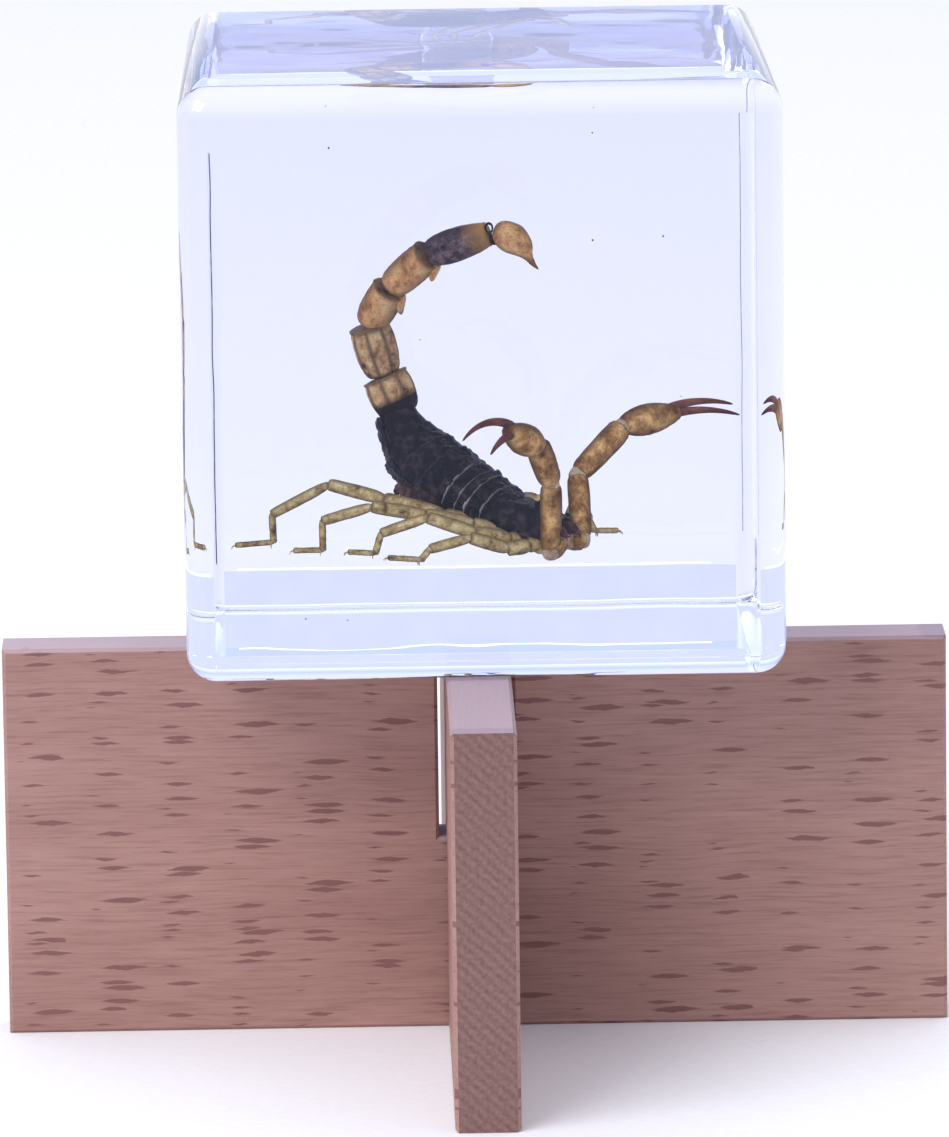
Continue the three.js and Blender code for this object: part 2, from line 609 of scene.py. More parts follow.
# %% [markdown]
# A dried skin is never smooth. Two cloud textures displace the placed pieces: wrinkles of about a
# millimetre, and granules of about a third of one, which also roughen the outline.

# %% Wrinkles and granules
wrinkles = bpy.data.textures.new("wrinkles", "CLOUDS")
wrinkles.noise_scale = 1.0 * MM
wrinkles.noise_depth = 4
granules = bpy.data.textures.new("granules", "CLOUDS")
granules.noise_scale = 0.3 * MM
granules.noise_depth = 2


def roughen(item, texture, strength):
    """Displaces a placed piece by a cloud texture, by a strength in mm."""
    modifier(item, "DISPLACE", texture=texture, strength=strength * MM, mid_level=0.5)
    return item


# %% [markdown]
# ## Cuticle
#
# A scorpion's shell is chitin hardened like horn, a smooth, half-gloss skin that is amber where it
# is thin and brown to black where it is thick or grows over muscle. Keels and rims are always the
# darkest, and where the dark keels are laid along an outline they are also painted shade. Chitin has
# an IOR of 1.56, but it lies in resin of 1.5 here, and only the ratio of the two makes a reflection,
# so the shader's IOR is 1.15: nearly no gloss, and deep colours. One function makes all the finishes
# from three tones, and reads two attributes that each section carries: ridge_and_painted_light
# (keels and rims, with their painted shade and highlights) and along (its length).

# %% The cuticle materials
IOR_IN_RESIN = 1.15
SPECK_SPACING = 0.32  # in mm
DARK_SLOT = "scorpion_dark_cuticle"
TAN_SLOT = "scorpion_tan_cuticle"


def cuticle(name, tones, keel, mottle=1.6, keel_strength=0.85, shine=0.34, tip=None, lumps=0.5,
            specks=0.55, grit_size=0.22):
    """Mottled tones, darker keels, which along an outline are also painted shade, and fine granules.
    mottle and grit_size are in mm. tip gives two shares of the length, between which the colour
    turns into a third tone."""
    material, tree, shader = new_material(name)
    place = add(tree, "TexCoord", {}, "Object")
    clouds = add(
        tree, "TexNoise",
        {"Scale": 1000 / mottle / 2, "Detail": 5.0, "Roughness": 0.66, "Distortion": 0.2,
         "Vector": place}, "Fac",
    )
    light, mid, dark = tones
    speck = add(
        tree, "TexVoronoi", {"Scale": 1000 / SPECK_SPACING, "Randomness": 1.0, "Vector": place},
        "Distance",
    )
    colour = add(
        tree, "Mix",
        {"data_type": "RGBA", "blend_type": "MULTIPLY", 0: specks,
         MIX_A: ramp(tree, clouds, [(0.33, dark), (0.49, mid), (0.66, light)]),
         MIX_B: ramp(tree, speck, [(0.08, "#8a6a58"), (0.35, "#ffffff")])}, MIX_RESULT,
    )
    ridge_and_painted_light = add(tree, "Attribute", {"attribute_name": "ridge_and_painted_light"}, "Fac")
    uneven = add(
        tree, "MapRange",
        {"From Min": 0.35, "From Max": 0.62, "To Min": 0.55, "To Max": 1.0, "Value": clouds},
        "Result",
    )
    marked = add(tree, "Math", {"operation": "MULTIPLY", 0: ridge_and_painted_light, 1: uneven}, "Value")
    marked = add(tree, "Math", {"operation": "MULTIPLY", 0: marked, 1: keel_strength}, "Value")
    colour = add(
        tree, "Mix", {"data_type": "RGBA", 0: marked, MIX_A: colour, MIX_B: linear(keel)},
        MIX_RESULT,
    )
    if tip:
        begins, ends, tip_tone = tip
        along = add(tree, "Attribute", {"attribute_name": "along"}, "Fac")
        share = add(
            tree, "MapRange", {"From Min": begins, "From Max": ends, "Value": along}, "Result"
        )
        colour = add(
            tree, "Mix", {"data_type": "RGBA", 0: share, MIX_A: colour, MIX_B: linear(tip_tone)},
            MIX_RESULT,
        )
    rough = add(
        tree, "MapRange", {"To Min": shine, "To Max": shine + 0.25, "Value": clouds}, "Result"
    )
    grit = add(tree, "TexNoise", {"Scale": 1000 / grit_size, "Detail": 2.0, "Vector": place}, "Fac")
    height = add(tree, "Math", {"operation": "ADD", 0: grit, 1: clouds}, "Value")
    bump = add(tree, "Bump", {"Strength": lumps, "Distance": 0.06 * MM, "Height": height}, "Normal")
    fill(shader, {"Base Color": colour, "Roughness": rough, "IOR": IOR_IN_RESIN, "Normal": bump})
    return material


# The brown of the keels, which on limbs and tail rings lie on the outline and so also paint shade
# along it.
KEEL_AND_OUTLINE_SHADE_BROWN = "#2e1c1a"
amber = cuticle(
    "cuticle_amber_limb", ("#ffd286", "#c08c52", "#664528"), KEEL_AND_OUTLINE_SHADE_BROWN, mottle=0.8,
    keel_strength=0.95,
)
straw = cuticle(
    "cuticle_straw_leg", ("#fff0aa", "#dec280", "#7c5c3c"), KEEL_AND_OUTLINE_SHADE_BROWN, mottle=0.6,
    keel_strength=0.9,
)
TAIL_TANS = ("#ffe2a4", "#dcac74", "#5e4036")
tail_tan = cuticle("cuticle_tan_tail", TAIL_TANS, "#24171c", mottle=0.8)
tail_root = cuticle(
    "cuticle_tan_tail_root", TAIL_TANS, "#24171c", mottle=0.8, tip=(0.5, 0.34, "#2a1c22")
)
tail_gold = cuticle(
    "cuticle_gold_tail", ("#ffdc9a", "#f0b272", "#946444"), KEEL_AND_OUTLINE_SHADE_BROWN, mottle=1.0,
    keel_strength=0.95,
)
tail_dark = cuticle(
    "cuticle_smoky_tail_end", ("#a08680", "#665258", "#2e242c"), "#1f1822",
    tip=(0.6, 0.95, "#b4884e"), mottle=0.4, lumps=0.9,
)
finger_red = cuticle(
    "cuticle_red_brown_finger", ("#96604e", "#6e4038", "#48292a"), "#33222a", mottle=2.5
)
mouth_brown = cuticle(
    "cuticle_brown_mouth", ("#8d6a5c", "#5a3e38", "#2c2024"), "#2c2024", mottle=0.8
)
# Its keel tone is the pale rim of the plates, which at the flanks is also a painted highlight.
shell_black = cuticle(
    "cuticle_black_back", ("#453a3e", "#100e16", "#030407"), "#ccc6bc", mottle=0.6,
    keel_strength=0.8, shine=0.2, lumps=1.0, specks=0.2, grit_size=0.45,
)
membrane = cuticle(
    "membrane_dried_brown", ("#7e5e52", "#3a2b2a", "#141117"), "#15121a", mottle=0.6, shine=0.4
)
pale_skin = cuticle(
    "membrane_pale_joint", ("#efe0c4", "#d1b690", "#9a7a5c"), "#5c4436", mottle=0.8
)
eye_black = cuticle(
    "eye_lens_black", ("#16141c", "#0b0a10", "#060508"), "#0b0a10", mottle=0.3, shine=0.08,
    lumps=0.1, specks=0.0,
)

# %% [markdown]
# ## How the scorpion stands in the cube
#
# The scorpion's places are in millimetres from the middle of the cube's lower face, with X to the
# right, Y to the back and Z up. It walks to the right and towards the viewer. Its head is nearly
# level, and from the neck, where the head shield meets the first back plate, the back curves up
# more and more steeply to the root of the tail. Its near side lies a little lower.

# %% Directions of the body
HEADING = math.radians(-40)
ROLL = math.radians(4)
HEAD_SLOPE = math.radians(8)
NECK = Vector((3.2, -2.0, 12.8))

ahead = Vector((math.cos(HEADING), math.sin(HEADING), 0))
to_near_side = Vector((math.sin(HEADING), -math.cos(HEADING), -math.tan(ROLL))).normalized()
body_up = to_near_side.cross(ahead).normalized()
head_forward = (ahead * math.cos(HEAD_SLOPE) - body_up * math.sin(HEAD_SLOPE)).normalized()
head_up = to_near_side.cross(head_forward).normalized()


def head_place(forward, up, near=0.0):
    """A place measured from the neck along the head: forward, up and to the near side, in mm."""
    return NECK + head_forward * forward + head_up * up + to_near_side * near


# %% [markdown]
# The back's own curve is drawn in one plane: the slope grows from the neck to the tail with a
# power of the distance, and the height and length follow by adding up small steps.

# %% The curve of the back
SPINE_LENGTH = 18.6
NECK_SLOPE, SLOPE_GAIN, SLOPE_POWER = 20.0, 50.0, 2.3
SPINE_STEPS = 40


def spine_slope(rearward):
    """The back's slope in radians at a distance behind the neck."""
    share = max(rearward, 0.0) / SPINE_LENGTH
    return math.radians(NECK_SLOPE + SLOPE_GAIN * share ** SLOPE_POWER)


def spine(rearward):
    """The back's middle at a distance behind the neck: its height, its length and its slope."""
    height = length = 0.0
    part = rearward / SPINE_STEPS
    for index in range(SPINE_STEPS):
        slope = spine_slope((index + 0.5) * part)
        height += math.sin(slope) * part
        length += math.cos(slope) * part
    return height, length, spine_slope(rearward)


def back_place(rearward, up, near=0.0):
    """A place measured along the curved back: rearward, up and to the near side, in mm."""
    height, length, slope = spine(rearward)
    level = length - up * math.sin(slope)
    return NECK - ahead * level + body_up * (height + up * math.cos(slope)) + to_near_side * near


print("tail root at", [round(v, 1) for v in back_place(SPINE_LENGTH, 0)])

# %% [markdown]
# ## Trunk
#
# Under the plates the body is one soft bag that dried into folds. It is grown along the curved
# back from the neck to the root of the tail, subdivided, and crumpled by the wrinkle texture:
# deep folds where the skin shows at the flanks, hidden elsewhere by the plates.

# %% The trunk
TRUNK_SIZES = (
    (6.2, 5.2), (7.0, 6.1), (7.6, 6.7), (8.0, 7.1), (8.2, 7.3), (7.9, 7.1), (7.1, 6.5),
    (5.6, 5.3), (3.7, 3.6),
)
trunk_step = SPINE_LENGTH / (len(TRUNK_SIZES) - 1)
step_slopes = [spine_slope((index + 0.5) * trunk_step) for index in range(len(TRUNK_SIZES) - 1)]
turns = [after - before for before, after in zip([0.0] + step_slopes, step_slopes)]

trunk = grow(
    "trunk_membrane", 16, TRUNK_SIZES[0],
    [(trunk_step, wide - 0.4, deep - 0.4, math.degrees(turn))
     for (wide, deep), turn in zip(TRUNK_SIZES[1:], turns)],
)
soften(trunk, 4)
stand(trunk, NECK, -ahead, body_up)
roughen(trunk, wrinkles, 1.3)
finish(trunk, membrane, smooth=80)
print("trunk faces:", len(trunk.data.polygons))


# %% [markdown]
# ## Plates of the back and belly
#
# Seven plates, the tergites, lie over the back like roof tiles, each a little wider at its rear
# rim, which shows as a fine pale line. Five flatter ones, the sternites, cover the belly. Each is
# cut from an open tube: one half is bisected away, the rings are scaled to the trunk's width and
# set along its curve, and a solidify gives the shell its thickness.

# %% Cutting a plate from a tube
PLATE_RINGS = 8
PLATE_THICKNESS = 0.16


def plate(name, length, sizes, reach, side=1, path=None):
    """An arched plate along +Z. sizes gives width and depth at a share of the length. The half
    beyond reach is kept, on the +Y side or, with side -1, on the other. path gives the height,
    length and slope of the middle at a distance; without it the plate is straight."""
    item = begin(
        name, bpy.ops.mesh.primitive_cylinder_add, vertices=64, radius=0.5, depth=length,
        end_fill_type="NOTHING", location=(0, 0, length / 2),
    )
    bpy.ops.object.mode_set(mode="EDIT")
    bpy.ops.mesh.select_all(action="SELECT")
    bpy.ops.mesh.bisect(
        plane_co=(0, reach * side, 0), plane_no=(0, side, 0), clear_inner=True
    )
    for cut in range(1, PLATE_RINGS):
        bpy.ops.mesh.select_all(action="SELECT")
        bpy.ops.mesh.bisect(plane_co=(0, 0, length * cut / PLATE_RINGS), plane_no=(0, 0, 1))
    bpy.ops.object.mode_set(mode="OBJECT")
    ring_of = [round(vertex.co.z / length * PLATE_RINGS) for vertex in item.data.vertices]
    bpy.ops.object.mode_set(mode="EDIT")
    for ring in range(PLATE_RINGS + 1):
        share = ring / PLATE_RINGS
        distance = length * share
        wide, deep = sizes(share)
        pick(item, "VERT", lambda vertex: ring_of[vertex.index] == ring)
        bpy.ops.transform.resize(value=(wide, deep, 1), center_override=(0, 0, distance))
        if path:
            height, level, slope = path(distance)
            bpy.ops.transform.rotate(
                value=slope, orient_axis="X", center_override=(0, 0, distance)
            )
            bpy.ops.transform.translate(value=(0, height, level - distance))
    bpy.ops.mesh.select_all(action="SELECT")
    bpy.ops.mesh.normals_make_consistent(inside=False)
    bpy.ops.object.mode_set(mode="OBJECT")
    shares = item.data.attributes.new("along", "FLOAT", "POINT")
    for index, ring in enumerate(ring_of):
        shares.data[index].value = ring / PLATE_RINGS
    modifier(item, "SOLIDIFY", thickness=PLATE_THICKNESS, offset=-1)
    modifier(item, "BEVEL", width=0.04, segments=2, limit_method="ANGLE")
    modifier(item, "SUBSURF", levels=1)
    return item


def mark_rim(item, from_share, strength=1.0):
    """Writes the ridge_and_painted_light attribute, which grows from a share of the plate's length
    to its rear rim and is strongest at the flanks, where the rim stands off and catches the light,
    as a painted highlight."""
    shares = item.data.attributes["along"].data
    ridge_and_painted_light = item.data.attributes.new("ridge_and_painted_light", "FLOAT", "POINT")
    half_width = bounds_of(item)[1].x
    for index, vertex in enumerate(item.data.vertices):
        past = (shares[index].value - from_share) / (1 - from_share)
        flank = (vertex.co.x / half_width) ** 2
        # The flank weighting is a painted highlight on the pale rim.
        ridge_and_painted_light.data[index].value = max(0.0, min(1.0, past)) * strength * (0.3 + 0.7 * flank)


def trunk_size(rearward):
    """Width and depth of the trunk at a distance behind the neck."""
    share = min(max(rearward / trunk_step, 0), len(TRUNK_SIZES) - 1.001)
    index = int(share)
    blend = share - index
    before, after = TRUNK_SIZES[index], TRUNK_SIZES[index + 1]
    return [a * (1 - blend) + b * blend for a, b in zip(before, after)]


# %% The plates
TERGITE_LENGTHS = (1.6, 1.8, 1.2, 1.5, 3.4, 2.8, 6.1)
TERGITE_REACH = -0.02
STERNITE_LENGTHS = (2.6, 2.8, 3.0, 3.2, 4.2)
STERNITE_START = 2.6
STERNITE_REACH = 0.06
PLATE_OVERLAP = 0.35
PALE_RIMS = 4  # the first plates, whose rims are pale; behind them the rims are dark
LAST_PLATE = 6.0  # plates longer than this end in a closed taper instead of a flared rim


def cover(kind, lengths, first, reach, side):
    """One row of overlapping plates along the trunk."""
    start = first
    for number, length in enumerate(lengths, 1):
        full = length + PLATE_OVERLAP
        flare = -0.3 if length > LAST_PLATE else 0.26

        def tile(share, start=start, full=full, flare=flare):
            """The trunk's size, with a shallow waist and a flared rear rim."""
            wide, deep = trunk_size(start + full * share)
            lift = 0.24 - 0.2 * math.sin(math.pi * share) + flare * share ** 2
            return wide + lift, deep + lift

        item = plate(
            f"{kind}_{number}", full, tile, reach, side,
            path=lambda distance, start=start: spine(start + distance),
        )
        mark_rim(item, 1 - 0.16 / full, 1.0 if side > 0 and number <= PALE_RIMS else 0.12)
        stand(item, NECK, -ahead, body_up)
        roughen(item, wrinkles, 0.85)
        roughen(item, granules, 0.14)
        finish(item, shell_black, smooth=50)
        start += length
    print(f"{kind}s reach", round(start, 1), "mm behind the neck")


cover("tergite", TERGITE_LENGTHS, 0.0, TERGITE_REACH, 1)
cover("sternite", STERNITE_LENGTHS, STERNITE_START, STERNITE_REACH, -1)

# %% [markdown]
# On the near flank the soft skin has bulged out between the plates as it dried, and one bulge has a
# hole, whose darkness is painted shade: a small black lobe. Each fold is a grown, crumpled lobe half
# sunk in the trunk.

# %% Dried folds on the near flank
FOLDS = {  # rearward, up and to the near side of the middle, length and thickness, in mm
    "skin_fold_1": (8.4, -0.6, 3.9, 3.4, 1.5), "skin_fold_2": (10.8, -1.7, 3.5, 2.8, 2.0),
    "skin_fold_3": (6.0, -1.0, 3.8, 3.2, 1.0), "skin_fold_4": (13.2, -0.9, 2.9, 2.4, 1.3),
    "skin_hole_painted_shade": (11.6, -2.2, 4.1, 0.8, 0.8),
}
for name, (rearward, up, near, long, thick) in FOLDS.items():
    fold = grow(
        name, 12, (0.4, 0.4),
        [(0.1, 0.75, 0.75, 0), (0.3, 1.0, 1.0, 0), (0.3, 0.95, 1.0, 0), (0.2, 0.7, 0.75, 0),
         (0.1, 0.3, 0.3, 0)],
    )
    soften(fold, 3)
    foot = back_place(rearward - long / 2, up, near)
    tip = back_place(rearward + long / 2, up, near)
    stand(fold, foot, tip - foot, to_near_side, (thick, thick, long))
    roughen(fold, wrinkles, 0.2 if name == "skin_hole_painted_shade" else 1.1)
    # The hole's lobe is black: painted shade.
    tone = shell_black if name == "skin_hole_painted_shade" else membrane
    finish(fold, tone, smooth=80)
print("dried folds:", len(FOLDS))

# %% [markdown]
# ## Head shield
#
# The carapace is one piece over the front legs: narrow in front, as wide as the first back plate
# behind, with two large eyes on a knob in the centre and smaller ones at each front corner. Below
# it the soft underside is closed by a grown tube.

# %% The head shield
CARAPACE_LENGTH = 6.4


def shield(share):
    """Width and depth of the head shield at a share of its length forward."""
    return 6.4 - 2.4 * share ** 1.4, 5.3 - 1.7 * share ** 1.6


carapace = plate("carapace", CARAPACE_LENGTH, shield, 0.0)
mark_rim(carapace, 0.97)
stand(carapace, head_place(-0.2, 0.0), head_forward, head_up)
roughen(carapace, wrinkles, 0.9)
roughen(carapace, granules, 0.12)
finish(carapace, shell_black, smooth=50)

prosoma = grow(
    "prosoma_underside", 16, (5.6, 4.6),
    [(1.6, 5.7, 4.4, 0), (1.6, 5.3, 4.0, 0), (1.6, 4.6, 3.5, 0), (1.3, 3.4, 2.8, 0)],
)
soften(prosoma, 3)
stand(prosoma, NECK, head_forward, head_up)
roughen(prosoma, wrinkles, 0.7)
finish(prosoma, membrane, smooth=80)

# %% Eyes
EYE_PLACES = {  # forward, up, to the near side, and radius, in mm from the neck
    "eye_middle_near": (3.0, 2.62, 0.3, 0.27),
    "eye_middle_far": (3.0, 2.62, -0.3, 0.27),
    "eye_corner_near_1": (5.9, 1.75, 1.25, 0.15),
    "eye_corner_near_2": (5.5, 1.7, 1.5, 0.13),
    "eye_corner_far_1": (5.9, 1.75, -1.25, 0.15),
    "eye_corner_far_2": (5.5, 1.7, -1.5, 0.13),
}
for name, (forward, up, near, radius) in EYE_PLACES.items():
    eye = grow(
        name, 12, (1.0, 1.0),
        [(0.5, 1.7, 1.7, 0), (0.6, 1.9, 1.9, 0), (0.6, 1.5, 1.5, 0), (0.35, 0.8, 0.8, 0)],
    )
    soften(eye)
    stand(eye, head_place(forward, up - radius, near), head_up, head_forward, (radius,) * 3)
    finish(eye, eye_black, smooth=80)
print("eyes:", len(EYE_PLACES))

# %% [markdown]
# ## Mouth parts
#
# In front of the shield sit two small pincers, the chelicerae, each a round base with a fixed and
# a movable tooth. They are shorter and stouter than any limb section.

# %% Chelicerae
CHELICERA_SIZE = (0.85, 0.85, 0.9)
for side, sign in (("near", 1), ("far", -1)):
    base = grow(
        f"chelicera_{side}", 12, (1.0, 1.0),
        [(0.25, 1.45, 1.5, 0), (0.7, 1.6, 1.7, 0), (0.6, 1.45, 1.5, 0), (0.3, 1.1, 1.1, 0),
         (0.45, 0.6, 0.6, -12), (0.45, 0.35, 0.35, -22), (0.35, 0.12, 0.12, -22)],
        pinch=0.94,
    )
    tooth = grow(
        "tooth", 8, (0.45, 0.45),
        [(0.5, 0.5, 0.5, 0), (0.5, 0.35, 0.35, 14), (0.4, 0.12, 0.12, 20)],
    )
    soften(base)
    soften(tooth)
    way = head_forward * 0.95 - head_up * 0.22 + to_near_side * 0.12 * sign
    stand(base, head_place(5.5, 0.8, 0.75 * sign), way, head_up, CHELICERA_SIZE)
    stand(tooth, head_place(6.9, 0.3, 0.75 * sign), way, head_up, CHELICERA_SIZE)
    mouth = roughen(weld(f"chelicera_{side}", base, tooth), wrinkles, 0.3)
    finish(mouth, mouth_brown, smooth=70)
print("chelicerae: two")

# %% [markdown]
# ## Limb sections
#
# Legs and arms repeat a few shapes, so each shape is grown once, one unit long and one unit wide,
# and every limb is made of copies stretched between its joints. Sections are eight-sided with every
# second corner pulled in, which leaves four soft keels. The two keels of the back and belly are
# dark, and since they lie on the outline seen from the front, their wide dark bands are also painted
# shade along that outline.

# %% Patterns for the limb sections
# Two dark keels, widened by spread, that lie on the outline: keels, and painted shade along it.
LIMB_KEELS_AND_OUTLINE_SHADE = {"keels": 2, "rim": 0.05, "sharpness": 1.2, "spread": 0.8}


def limb_pattern(name, steps, first, pinch=0.86, sides=8, **marks):
    """A section from z 0 to 1, smoothed, with its keels and rims marked."""
    return soften(grow(name, sides, first, steps, pinch), **{**LIMB_KEELS_AND_OUTLINE_SHADE, **marks})


long_section = limb_pattern(
    "pattern_long", first=(0.42, 0.45),
    steps=[(0.04, 0.72, 0.75, 0), (0.16, 0.95, 1.0, 0), (0.35, 1.0, 1.0, 0),
           (0.33, 0.92, 0.95, 0), (0.09, 0.8, 0.9, 0), (0.03, 0.5, 0.6, 0)],
)
thin_section = limb_pattern(
    "pattern_thin", first=(0.5, 0.5),
    steps=[(0.05, 0.85, 0.85, 0), (0.3, 1.0, 0.95, 0), (0.4, 0.9, 0.85, 0),
           (0.2, 1.0, 1.0, 0), (0.05, 0.6, 0.6, 0)],
)
claw_pattern = limb_pattern(
    "pattern_claw", first=(0.3, 0.3), pinch=1.0, keels=0, rim=0,
    steps=[(0.2, 0.28, 0.28, -12), (0.25, 0.22, 0.22, -22), (0.25, 0.16, 0.16, -26),
           (0.25, 0.08, 0.08, -22), (0.15, 0.02, 0.02, -10)],
)
joint_pattern = limb_pattern(
    "pattern_joint", first=(0.4, 0.4), pinch=1.0, keels=0, rim=0,
    steps=[(0.15, 0.8, 0.8, 0), (0.35, 1.0, 1.0, 0), (0.35, 0.8, 0.8, 0), (0.15, 0.4, 0.4, 0)],
)


# %% [markdown]
# ## Legs
#
# Each leg is listed by its joints, from the hip to the tip of the foot: the coxa, trochanter,
# femur, patella, tibia, basitarsus and telotarsus lie between them, and two claws end it. The
# coxa is fixed under the head shield, so it starts from a place on the head.

# %% A leg from its joints
LEG_SECTIONS = (
    ("coxa", long_section, 2.2, 2.1),
    ("trochanter", long_section, 1.9, 1.9),
    ("femur", long_section, 1.55, 1.85),
    ("patella", long_section, 1.35, 1.65),
    ("tibia", long_section, 1.05, 1.3),
    ("basitarsus", thin_section, 0.78, 0.92),
    ("telotarsus", thin_section, 0.65, 0.75),
)
LEG_OVERLAP = 0.12
CLAW_SIZE = (0.55, 0.55, 0.9)
SPUR_SIZE = (0.6, 0.6, 0.9)


def leg(name, joints):
    """A whole leg as one piece, from eight joints between the coxa's root and the foot's tip."""
    joints = [Vector(joint) for joint in joints]
    parts = []
    for (section, pattern, width, depth), start, end in zip(LEG_SECTIONS, joints, joints[1:]):
        overlap = (end - start).normalized() * LEG_OVERLAP
        parts.append(between(pattern, section, start - overlap, end + overlap, width, depth))
    ankle, toe = joints[-2:]
    foot_way = (toe - ankle).normalized()
    sideways = foot_way.cross(UP).normalized()
    for side in (-1, 1):
        claw_way = foot_way + sideways * 0.5 * side
        parts.append(stand(twin(claw_pattern, "claw"), toe, claw_way, UP, CLAW_SIZE))
        spur_way = foot_way + sideways * 0.6 * side - UP * 0.5
        parts.append(stand(twin(claw_pattern, "spur"), ankle, spur_way, UP, SPUR_SIZE))
    limb = roughen(weld(name, *parts), granules, 0.09)
    finish(limb, straw, smooth=60)


NEAR_LEGS = (
    ((5.6, -5.6, 11.2), (4.6, -6.4, 10.9), (2.5, -7.2, 10.7), (-1.3, -8.9, 12.1),
     (-5.4, -10.4, 11.2), (-6.3, -11.7, 10.3), (-9.6, -13.0, 10.7)),
    ((4.4, -4.6, 11.3), (2.7, -5.6, 11.5), (-0.7, -6.2, 12.2), (-5.6, -6.9, 14.0),
     (-10.3, -7.2, 12.5), (-10.9, -6.9, 10.4), (-13.6, -7.0, 10.6)),
    ((3.0, -3.4, 11.8), (-1.0, -4.4, 12.9), (-5.8, -4.8, 14.0), (-11.2, -5.2, 15.0),
     (-16.2, -5.4, 13.6), (-16.2, -5.2, 10.6), (-19.1, -5.2, 10.6)),
    ((1.6, -2.4, 12.2), (-3.8, -2.6, 13.7), (-9.9, -2.2, 15.4), (-15.5, -1.6, 16.9),
     (-21.3, -0.8, 13.8), (-21.2, -0.4, 10.9), (-25.0, -0.1, 10.6)),
)
FAR_LEGS = (
    ((8.0, -1.4, 12.0), (8.8, 0.0, 12.3), (9.6, 1.8, 14.0), (10.2, 3.4, 13.4),
     (10.8, 4.4, 12.2), (11.4, 5.0, 10.9), (13.8, 6.4, 10.7)),
    ((6.6, -0.2, 12.4), (6.8, 1.0, 12.8), (5.6, 3.4, 14.5), (3.2, 7.2, 14.0),
     (1.0, 10.5, 12.0), (0.6, 11.6, 10.6), (1.6, 13.6, 10.4)),
    ((5.6, 0.8, 12.6), (5.2, 2.2, 13.0), (3.2, 4.6, 14.4), (1.0, 7.6, 14.4),
     (-1.4, 10.4, 13.0), (-1.6, 11.6, 11.0), (0.4, 13.6, 10.4)),
    ((4.2, 2.0, 13.0), (3.0, 3.6, 13.6), (0.8, 6.2, 15.0), (-1.8, 9.0, 15.8),
     (-3.6, 12.4, 13.8), (-3.4, 14.0, 11.8), (-1.8, 16.4, 10.8)),
)
COXA_ROOTS = (4.0, 2.9, 1.7, 0.5)  # how far ahead of the neck each pair of legs starts
for side, sign, legs in (("near", 1, NEAR_LEGS), ("far", -1, FAR_LEGS)):
    for number, (joints, forward) in enumerate(zip(legs, COXA_ROOTS), 1):
        root = head_place(forward, -1.9, 0.3 * sign)
        leg(f"leg_{number}_{side}", (root, *joints))
print("legs:", len(NEAR_LEGS) + len(FAR_LEGS))

# %% [markdown]
# ## Arms and pincers
#
# The pedipalps are thicker, keeled limbs: trochanter, femur, patella and a swollen hand whose
# upper finger is fixed and whose other finger is hinged. The fingers are long, thin and curved.
# At each joint a ring of pale, soft skin shows between the hard sections.

# %% Patterns for the arms
arm_section = limb_pattern(
    "pattern_arm", first=(0.5, 0.5), pinch=0.88,
    steps=[(0.05, 0.78, 0.8, 0), (0.12, 0.95, 0.95, 0), (0.38, 1.0, 1.0, 0),
           (0.35, 1.0, 1.0, 0), (0.07, 0.85, 0.85, 0), (0.03, 0.55, 0.55, 0)],
)
hand_pattern = limb_pattern(
    "pattern_hand", first=(0.4, 0.4), pinch=0.92,
    steps=[(0.06, 0.62, 0.62, 0), (0.2, 0.95, 0.98, 0), (0.24, 1.02, 1.04, 0),
           (0.22, 0.86, 0.84, 0), (0.2, 0.55, 0.52, 0), (0.08, 0.34, 0.32, 0)],
)

# %% A finger
FINGER_TAPER = (1.0, 0.95, 0.86, 0.76, 0.64, 0.52, 0.38, 0.18)
FINGER_WIDTH = 0.95
FINGER_DEPTH = FINGER_WIDTH * 1.1


def finger(name, start, tip, bow):
    """A curved finger: bow is its whole bend in degrees, with its hollow side down. It is an
    arc of equal steps whose ends lie at the two given places."""
    span = Vector(tip) - Vector(start)
    count = len(FINGER_TAPER)
    turn = bow / count
    headings = [(bow - turn) / 2 - index * turn for index in range(count)]
    step = span.length / sum(math.cos(math.radians(heading)) for heading in headings)
    item = grow(
        name, 8, (FINGER_WIDTH, FINGER_DEPTH),
        [(step, FINGER_WIDTH * share, FINGER_DEPTH * share, headings[0] if index == 0 else -turn)
         for index, share in enumerate(FINGER_TAPER)],
    )
    return stand(soften(item), start, span, UP)


# %% The arms
ARM_SECTIONS = {"trochanter": (2.6, 2.5), "femur": (2.4, 2.6), "patella": (2.8, 3.0)}
HAND_SIZE = (3.3, 3.7)
JOINT_SIZE = (2.1, 2.1, 1.7)


def arm(side, joints, hand, fingers):
    """An arm: trochanter, femur, patella, hand, soft joints, and two fingers of their own."""
    for (name, (wide, deep)), start, end in zip(ARM_SECTIONS.items(), joints, joints[1:]):
        part = between(arm_section, f"{name}_{side}", start, end, wide, deep)
        finish(roughen(part, granules, 0.12), amber, smooth=60)
    for number, joint in enumerate(joints, 1):
        way = Vector(joints[min(number, len(joints) - 1)]) - Vector(joints[max(number - 2, 0)])
        middle = Vector(joint) - way.normalized() * JOINT_SIZE[2] / 2
        skin = stand(twin(joint_pattern, f"joint_skin_{side}_{number}"), middle, way, UP, JOINT_SIZE)
        finish(roughen(skin, wrinkles, 0.3), pale_skin, smooth=70)
    palm = between(hand_pattern, f"hand_{side}", *hand, *HAND_SIZE)
    finish(roughen(palm, granules, 0.12), amber, smooth=60)
    for name, start, tip, bow in fingers:
        part = finger(f"{name}_{side}", start, tip, bow)
        finish(part, finger_red, smooth=60)


